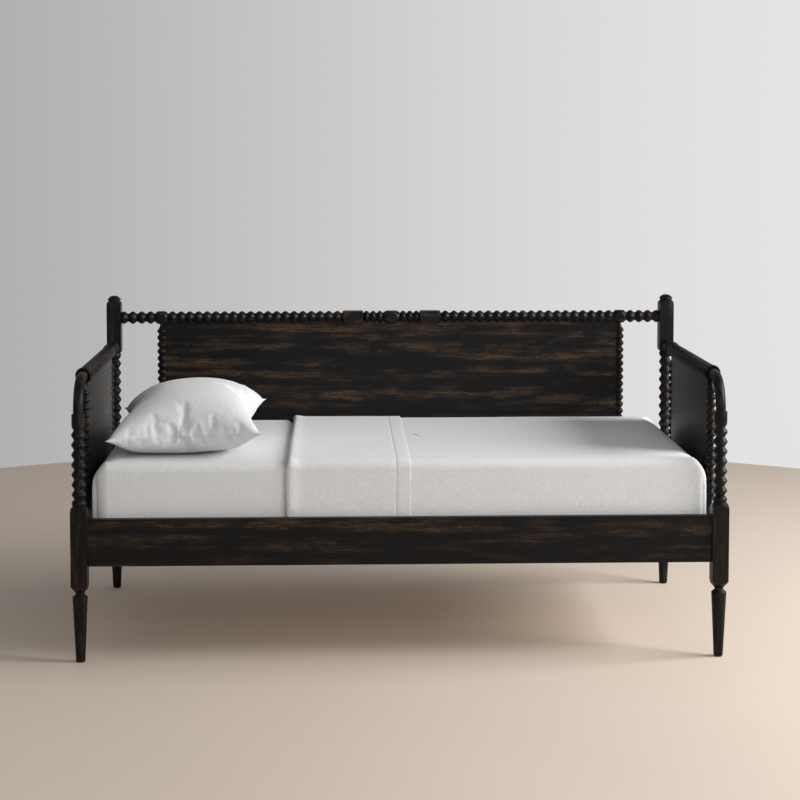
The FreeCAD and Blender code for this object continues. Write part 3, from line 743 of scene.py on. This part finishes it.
def cuff_height(cuff, normals, low, high):
    """How far the cuff stands out: rolled and wrinkled at the fold, stitched and pressed at the hem."""
    level = normals[:, 2] > 0.7
    from_fold = cuff[:, 0] - FOLD_X
    above_rail = np.clip((cuff[:, 2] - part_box("front_side_rail")[1][2]) / 0.03, 0, 1)
    proud = np.where(level, 0.0036, 0.0032 * above_rail)
    front_edge = np.hypot(cuff[:, 1] - low[1] - 0.008, cuff[:, 2] - high[2] + 0.008)
    proud += 0.0030 * bell(front_edge, 0.024)
    roll = proud * bell(from_fold - 0.010, 0.017)
    turn = np.clip(1 - from_fold / ROLL, 0, 1)
    roll -= (proud * 0.7 + np.where(level, CUFF_RISE, CUFF_PROUD) * 0.75) * (1 - np.sqrt(1 - turn ** 2))
    streaks = ripple(cuff * (0.2, 1.0, 1.0), 0.026, 7) + 0.5 * ripple(cuff * (0.3, 1.0, 1.0), 0.012, 8)
    streaks *= np.exp(-from_fold / 0.030) * np.where(level, 0.0042, 0.0012)
    hem = np.where(cuff[:, 0] > STITCH_X, 0.0004, 0.0)
    hem -= 0.0009 * bell(cuff[:, 0] - STITCH_X, 0.0016)
    hem_edge = -0.0010 * np.exp(-(HEM_X - cuff[:, 0]) / 0.004) * level
    return rumple(cuff, SHEET_WAVES) + roll + streaks + hem + hem_edge


def fold_over(profile, points, places, cuff, cuff_places):
    """The half-round strip that joins the sheet to its cuff along the fold.

    The strip's points come after the sheet's and the cuff's. Returns them and the strip's faces."""
    first_cuff = len(points)
    first_roll = first_cuff + len(cuff)
    bends = 5
    strip = []
    for place in profile:
        inner, outer = points[places[place]], cuff[cuff_places[place]]
        middle, half = (inner + outer) / 2, (outer - inner) / 2
        bulge = np.array((-1.0, 0, 0)) * np.linalg.norm(half) * 1.25
        for step in range(1, bends + 1):
            angle = math.pi * step / (bends + 1)
            strip.append(middle - math.cos(angle) * half + math.sin(angle) * bulge)
    faces = []
    for here in range(len(profile) - 1):
        chains = []
        for number in (here, here + 1):
            start = first_roll + number * bends
            chains.append([places[profile[number]]] + list(range(start, start + bends))
                          + [first_cuff + cuff_places[profile[number]]])
        for step in range(bends + 1):
            faces.append([chains[0][step], chains[1][step], chains[1][step + 1], chains[0][step + 1]])
    return np.array(strip), faces


def make_top_sheet(cotton, thread):
    """The top sheet: tucked in on three sides, its head end folded back into a cuff with a wide hem."""
    node_low, node_high = (np.array(corner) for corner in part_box("top_sheet"))
    thick = 0.0009
    node_high[0] += SWELL / 2 + 0.001
    low = np.array((-node_high[0], node_low[1] + 0.0032, node_low[2] + 0.0005))
    high = np.array((node_high[0], node_high[1] - 0.0032, node_high[2] - 0.0060))
    cuff_low = low - (CUFF_PROUD, CUFF_PROUD, 0)
    cuff_high = high + (CUFF_PROUD, CUFF_PROUD, CUFF_RISE)
    ys = spaced(low[1], high[1], 0.0055)
    zs = graded(low[2], high[2], (low[2], high[2]), 0.035)
    under_y = (low[1] + TUCK, high[1] - TUCK)
    under_x = high[0] - TUCK

    def keep_sheet(x, y, z):
        open_below = x < under_x and under_y[0] < y < under_y[1]
        return x > FOLD_X + TINY and (z > low[2] + TINY or not open_below)

    xs = graded(FOLD_X, high[0], (CREASE[0][0], high[0], high[0] - 0.06), 0.035)
    points, faces, places = block_surface(xs, ys, zs, keep_sheet)
    points = rounded(points, low, high, 0.0035)
    normals = outward(points, low, high)
    below = points[:, 2] < low[2] + JUST
    height = rumple(points, SHEET_WAVES) + darts(points, low, high) + small_crease(points)
    points += normals * np.where(below, 0.0, height)[:, None]
    points[:, 0] += np.where(below, 0.0, fold_drift(normals) * np.exp(-(points[:, 0] - FOLD_X) / 0.05))

    # The cuff lies on the sheet: the same grid in Y and Z, a little further out.
    cuff_xs = cuff_columns()
    cuff_ys = moved(ys, low[1], high[1], cuff_low[1], cuff_high[1])
    cuff_zs = moved(zs, low[2], high[2], cuff_low[2], cuff_high[2])

    def keep_cuff(x, y, z):
        return FOLD_X + TINY < x < HEM_X - TINY and z > cuff_low[2] + TINY

    cuff, cuff_faces, cuff_places = block_surface(cuff_xs, cuff_ys, cuff_zs, keep_cuff)
    cuff = rounded(cuff, cuff_low, cuff_high, 0.006)
    normals = outward(cuff, cuff_low, cuff_high)
    drift = fold_drift(normals) * np.exp(-(cuff[:, 0] - FOLD_X) / 0.05)
    cuff += normals * cuff_height(cuff, normals, cuff_low, cuff_high)[:, None]
    cuff[:, 0] += drift

    rows, columns = len(zs) - 1, len(ys) - 1
    profile = [(0, 0, k) for k in range(rows + 1)] + [(0, j, rows) for j in range(1, columns + 1)]
    profile += [(0, columns, k) for k in range(rows - 1, -1, -1)]
    strip, strip_faces = fold_over(profile, points, places, cuff, cuff_places)
    all_faces = faces + [[len(points) + i for i in face] for face in cuff_faces] + strip_faces
    whole = np.concatenate([points, cuff, strip])
    rail_inside, rail_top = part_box("front_side_rail")[1][1:]
    spare = 0.010 * np.clip((whole[:, 2] - rail_top - 0.003) / 0.03, 0, 1)
    whole[:, 1] = np.maximum(whole[:, 1], rail_inside + 0.0008 - spare)
    sheet = mesh_piece("top_sheet_cloth", whole, all_faces)
    dress_sheet(sheet, thick, cotton, "top_sheet")
    stitches = make_stitches("hem_stitches", cuff, cuff_places, cuff_xs, profile, thread)
    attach(sheet, "mattress")
    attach(stitches, "mattress")


def make_stitches(name, cuff, cuff_places, cuff_xs, profile, thread):
    """Short raised stitches that follow the hem's stitch line over the bed and down its sides."""
    column = int(np.argmin(np.abs(cuff_xs - STITCH_X)))
    route = [Vector(cuff[cuff_places[(column, j, k)]]) for _, j, k in profile]
    points, faces = [], []
    length, gap, radius, clearance = 0.0030, 0.0016, 0.00035, 0.0004
    sides = 6
    rings = ((0.0, 0.4, 0.0), (0.2, 1.0, 0.4), (0.8, 1.0, 0.4), (1.0, 0.4, 0.0))   # place, size, lift
    across = Vector((1, 0, 0))
    ready = 0.0
    for here, there in zip(route[:-1], route[1:]):
        span = (there - here).length
        forward = (there - here).normalized()
        over = across.cross(forward)
        while ready + length < span:
            start = len(points)
            for place, size, lift in rings:
                centre = here + forward * (ready + place * length) + over * (clearance + lift * radius)
                for k in range(sides):
                    angle = 2 * math.pi * k / sides
                    spoke = math.cos(angle) * across + math.sin(angle) * over
                    points.append(centre + radius * size * spoke)
            for ring in range(len(rings) - 1):
                base = start + ring * sides
                for k in range(sides):
                    m = (k + 1) % sides
                    faces.append((base + k, base + m, base + sides + m, base + sides + k))
            last = start + (len(rings) - 1) * sides
            faces.append(tuple(start + k for k in reversed(range(sides))))
            faces.append(tuple(last + k for k in range(sides)))
            ready += length + gap
        ready = max(0.0, ready - span)
    stitches = mesh_piece(name, points, faces)
    stitches.data.materials.append(thread)
    return stitches


# ---- pillow --------------------------------------------------------------------------------
PILLOW_FLAT = (0.508, 0.660)      # a 20 by 26 inch pillowcase, laid flat
PILLOW_CORNERS = (((-0.921, -0.432, 0.060), (-0.426, -0.449, 0.084)),     # front left, front right
                  ((-0.923, 0.172, 0.084), (-0.436, 0.176, 0.112)))       # back left, back right
PILLOW_CROWN = 0.208              # height of the pillow's top above the sheet
PILLOW_BELLY = 0.010              # how far its underside would sink if nothing held it up
# Tension folds on the top, as shares across and along the case: start, end, width and height in metres.
PILLOW_FOLDS = (((0.03, 0.40), (0.40, 0.54), 0.013, 0.0075),
                ((0.04, 0.28), (0.34, 0.38), 0.011, 0.0060),
                ((0.03, 0.54), (0.30, 0.78), 0.014, 0.0070),
                ((0.97, 0.44), (0.66, 0.54), 0.011, 0.0062),
                ((0.97, 0.56), (0.74, 0.76), 0.013, 0.0070),
                ((0.97, 0.68), (0.80, 0.92), 0.012, 0.0060),
                ((0.96, 0.32), (0.62, 0.38), 0.011, 0.0055),
                ((0.08, 0.08), (0.36, 0.36), 0.020, 0.0040))
CLOTH_FRAMES = 40                 # the case is blown up by then


def flat_case(cell):
    """Two layers of cloth sewn together round their edge, a few millimetres apart."""
    across, along_y = (int(round(size / cell)) for size in PILLOW_FLAT)
    points, faces = [], []
    index = {}
    for layer in (1, -1):
        for i in range(across + 1):
            for j in range(along_y + 1):
                s, t = i / across, j / along_y
                rim = i in (0, across) or j in (0, along_y)
                if rim and layer < 0:
                    index[layer, i, j] = index[1, i, j]
                    continue
                puff = 0.0 if rim else 0.004 + 0.010 * math.sin(math.pi * s) * math.sin(math.pi * t)
                index[layer, i, j] = len(points)
                points.append(((s - 0.5) * PILLOW_FLAT[0], (t - 0.5) * PILLOW_FLAT[1], layer * puff))
        for i in range(across):
            for j in range(along_y):
                quad = [index[layer, i, j], index[layer, i + 1, j], index[layer, i + 1, j + 1],
                        index[layer, i, j + 1]]
                faces.append(quad if layer > 0 else quad[::-1])
    rim = [index[1, i, j] for i in range(across + 1) for j in range(along_y + 1)
           if i in (0, across) or j in (0, along_y)]
    corners = [index[1, i, j] for j in (0, along_y) for i in (0, across)]
    return points, faces, rim, corners


def inflate(piece, rim):
    """Blow the case up with Cloth, its seam a little gathered, and keep the result in the mesh."""
    gathered = piece.vertex_groups.new(name="seam")
    gathered.add(rim, 1.0, "REPLACE")
    cloth = piece.modifiers.new("cloth", "CLOTH")
    settings = cloth.settings
    settings.quality = 6
    settings.mass = 0.25
    settings.tension_stiffness = settings.compression_stiffness = 18.0
    settings.shear_stiffness = 8.0
    settings.bending_stiffness = 1.5
    settings.tension_damping = settings.compression_damping = 8.0
    settings.air_damping = 2.0
    settings.use_pressure = True
    settings.uniform_pressure_force = 9.0
    settings.vertex_group_shrink = "seam"
    settings.shrink_min = 0.0
    settings.shrink_max = 0.02
    settings.effector_weights.gravity = 0.0
    cloth.collision_settings.use_collision = False
    scene = bpy.context.scene
    for frame_number in range(1, CLOTH_FRAMES + 1):
        scene.frame_set(frame_number)
    evaluated = piece.evaluated_get(bpy.context.evaluated_depsgraph_get())
    result = np.array([v.co for v in evaluated.data.vertices])
    piece.modifiers.remove(cloth)
    scene.frame_set(1)
    return result


def hipped(s, t):
    """Height of a soft hipped form: 0 at the seam and 1 at the crown, with ridges to the corners."""
    soft = 0.030
    edges = [s * PILLOW_FLAT[0], (1 - s) * PILLOW_FLAT[0], t * PILLOW_FLAT[1], (1 - t) * PILLOW_FLAT[1]]
    nearest = -soft * np.logaddexp.reduce([-edge / soft for edge in edges], axis=0)
    crown = PILLOW_FLAT[0] / 2 - soft * math.log(2)
    return np.sin(np.clip(nearest / crown, 0, 1) * math.pi / 2) ** 0.8


def creased(s, t, points):
    """Height of the pillow's creases: gathers along the front seam, and tension folds on its top."""
    x, y = s * PILLOW_FLAT[0], t * PILLOW_FLAT[1]
    leaning = x + 0.28 * y * np.sign(points[:, 2])
    flat = np.stack([leaning, y * 0.22, np.zeros_like(x)], 1)
    gathers = ripple(flat, 0.0165, 11) + 0.4 * ripple(flat, 0.0105, 12)
    reach = 0.042 + 0.008 * ripple(flat, 0.060, 13)
    held = np.exp(-((s - 0.52) / 0.31) ** 4)
    height = 0.0064 * gathers * held * bell(y, reach)
    for (s0, t0), (s1, t1), width, rise in PILLOW_FOLDS:
        start = np.array((s0, t0)) * PILLOW_FLAT
        run = np.array((s1, t1)) * PILLOW_FLAT - start
        length = np.linalg.norm(run)
        along_fold = ((x - start[0]) * run[0] + (y - start[1]) * run[1]) / length ** 2
        bow = 0.010 * np.sin(math.pi * np.clip(along_fold, 0, 1))
        across = ((y - start[1]) * run[0] - (x - start[0]) * run[1]) / length - bow
        taper = np.clip(along_fold / 0.15, 0, 1) * np.clip((1 - along_fold) / 0.55, 0, 1)
        ridge = bell(across, width) - 0.7 * bell(across - 1.7 * width, width)
        height += rise * taper * ridge * (points[:, 2] > 0)
    return height


def bedded(s, t):
    """How far the underside has come down to the sheet: soon from the sides, slowly from the front."""
    side = np.clip(np.minimum(s, 1 - s) / 0.20, 0, 1)
    return side * (2 - side) * np.clip(4 * t * (1 - t), 0, 1) ** 0.85


def settle(points, flat, corners):
    """Stretch the blown-up case to the pillow's corners, its crown and the sheet it lies on."""
    found = [points[c] for c in corners]
    low = np.array([min(p[k] for p in found) for k in range(2)])
    high = np.array([max(p[k] for p in found) for k in range(2)])
    s, t = ((points[:, k] - low[k]) / (high[k] - low[k]) for k in range(2))
    front, back = np.array(PILLOW_CORNERS)
    seam = (front[0] * ((1 - s) * (1 - t))[:, None] + front[1] * (s * (1 - t))[:, None]
            + back[0] * ((1 - s) * t)[:, None] + back[1] * (s * t)[:, None])
    seam_middle = np.mean(np.array(PILLOW_CORNERS)[:, :, 2])
    flat_s, flat_t = (flat[:, k] / PILLOW_FLAT[k] + 0.5 for k in range(2))
    hips = hipped(flat_s, flat_t)
    above = points[:, 2] > 0
    blown = np.abs(points[:, 2]) / np.where(above, points[:, 2].max(), -points[:, 2].min())
    upper, lower = 0.28 * blown + 0.72 * hips, 0.36 * blown + 0.64 * bedded(flat_s, flat_t)
    fullness = np.where(above, upper / upper.max(), lower / lower.max())
    height = np.where(above, PILLOW_CROWN - seam_middle, -seam_middle - PILLOW_BELLY) * fullness
    creases = creased(flat_s, flat_t, points)
    level = seam[:, 2] + height + creases * 0.6
    soft = 0.004
    level = np.where(level > 8 * soft, level, soft * np.logaddexp(0, level / soft))
    front_push = creases * 0.8 * np.exp(-flat_t / 0.12)
    return np.stack([seam[:, 0], seam[:, 1] - front_push, SHEET_LEVEL + 0.0015 + level], 1)


def sharpen(piece, rim, corners):
    """Keep the sewn edge and the corners sharp under subdivision."""
    edges = piece.data.attributes.new("crease_edge", "FLOAT", "EDGE")
    sewn = set(rim)
    seam_sharp, count = 0.45, len(piece.data.vertices)
    edges.data.foreach_set("value", [seam_sharp * (set(edge.vertices) <= sewn) for edge in piece.data.edges])
    points = piece.data.attributes.new("crease_vert", "FLOAT", "POINT")
    points.data.foreach_set("value", [float(k in corners) for k in range(count)])


def make_pillow(cotton):
    """The pillow in its case: sewn flat, blown up, then settled on the sheet."""
    cell = 0.0075
    points, faces, rim, corners = flat_case(cell)
    pillow = mesh_piece("pillow_in_case", points, faces)
    flat = points_of(pillow)
    shape = inflate(pillow, rim)
    set_points(pillow, settle(shape, flat, corners))
    pillow.vertex_groups.clear()
    sharpen(pillow, rim, corners)
    add_modifier(pillow, "SUBSURF", levels=1, render_levels=1)
    pillow.data.materials.append(cotton)
    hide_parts("pillow")
    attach(pillow, "pillow")


def make_bedding():
    """Mattress, sheets and pillow."""
    ticking = quilted_ticking("quilted_ticking")
    tape = brushed_cotton("binding_tape", 0.62)
    cotton = brushed_cotton("white_cotton", 0.74)
    thread = brushed_cotton("sewing_thread", 0.70)
    make_mattress(ticking, tape)
    make_fitted_sheet(cotton)
    make_top_sheet(cotton, thread)
    make_pillow(cotton)


# ---- put it together -----------------------------------------------------------------------
bpy.context.scene.view_settings.view_transform = "Standard"
make_camera()
make_studio()
dress_frame()
make_bedding()
